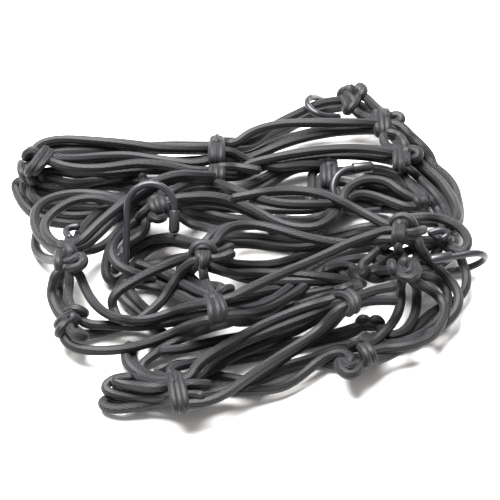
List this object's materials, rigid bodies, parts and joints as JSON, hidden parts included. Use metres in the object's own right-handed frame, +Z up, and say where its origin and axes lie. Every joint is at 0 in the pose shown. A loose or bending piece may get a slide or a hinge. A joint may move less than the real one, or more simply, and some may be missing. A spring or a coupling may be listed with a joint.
{
  "type": "cargo net",
  "caption": "Knotted elastic cord cargo net gathered into a loose bundle on a table, with coated wire hooks and capped tips.",
  "frame": {"origin": "middle of the bundle's outline, on the table", "axes": "+X to the right along the bundle's longest side, +Y away from the viewer, +Z up"},
  "size_m": [0.2508, 0.2362, 0.0472],
  "materials": {
    "cord": "braided, matt",
    "hook_wire": "smooth coating, semi-gloss",
    "tip_sleeve": "moulded, satin"
  },
  "bodies": {
    "root": {"net": "cord", "hook_top": "hook_wire", "hook_rear": "hook_wire", "hook_right": "hook_wire", "hook_peak": "hook_wire", "hook_left": "hook_wire", "hook_right_end": "hook_wire", "sleeve_top": "tip_sleeve", "sleeve_rear": "tip_sleeve", "sleeve_right": "tip_sleeve"}
  },
  "joints": []
}
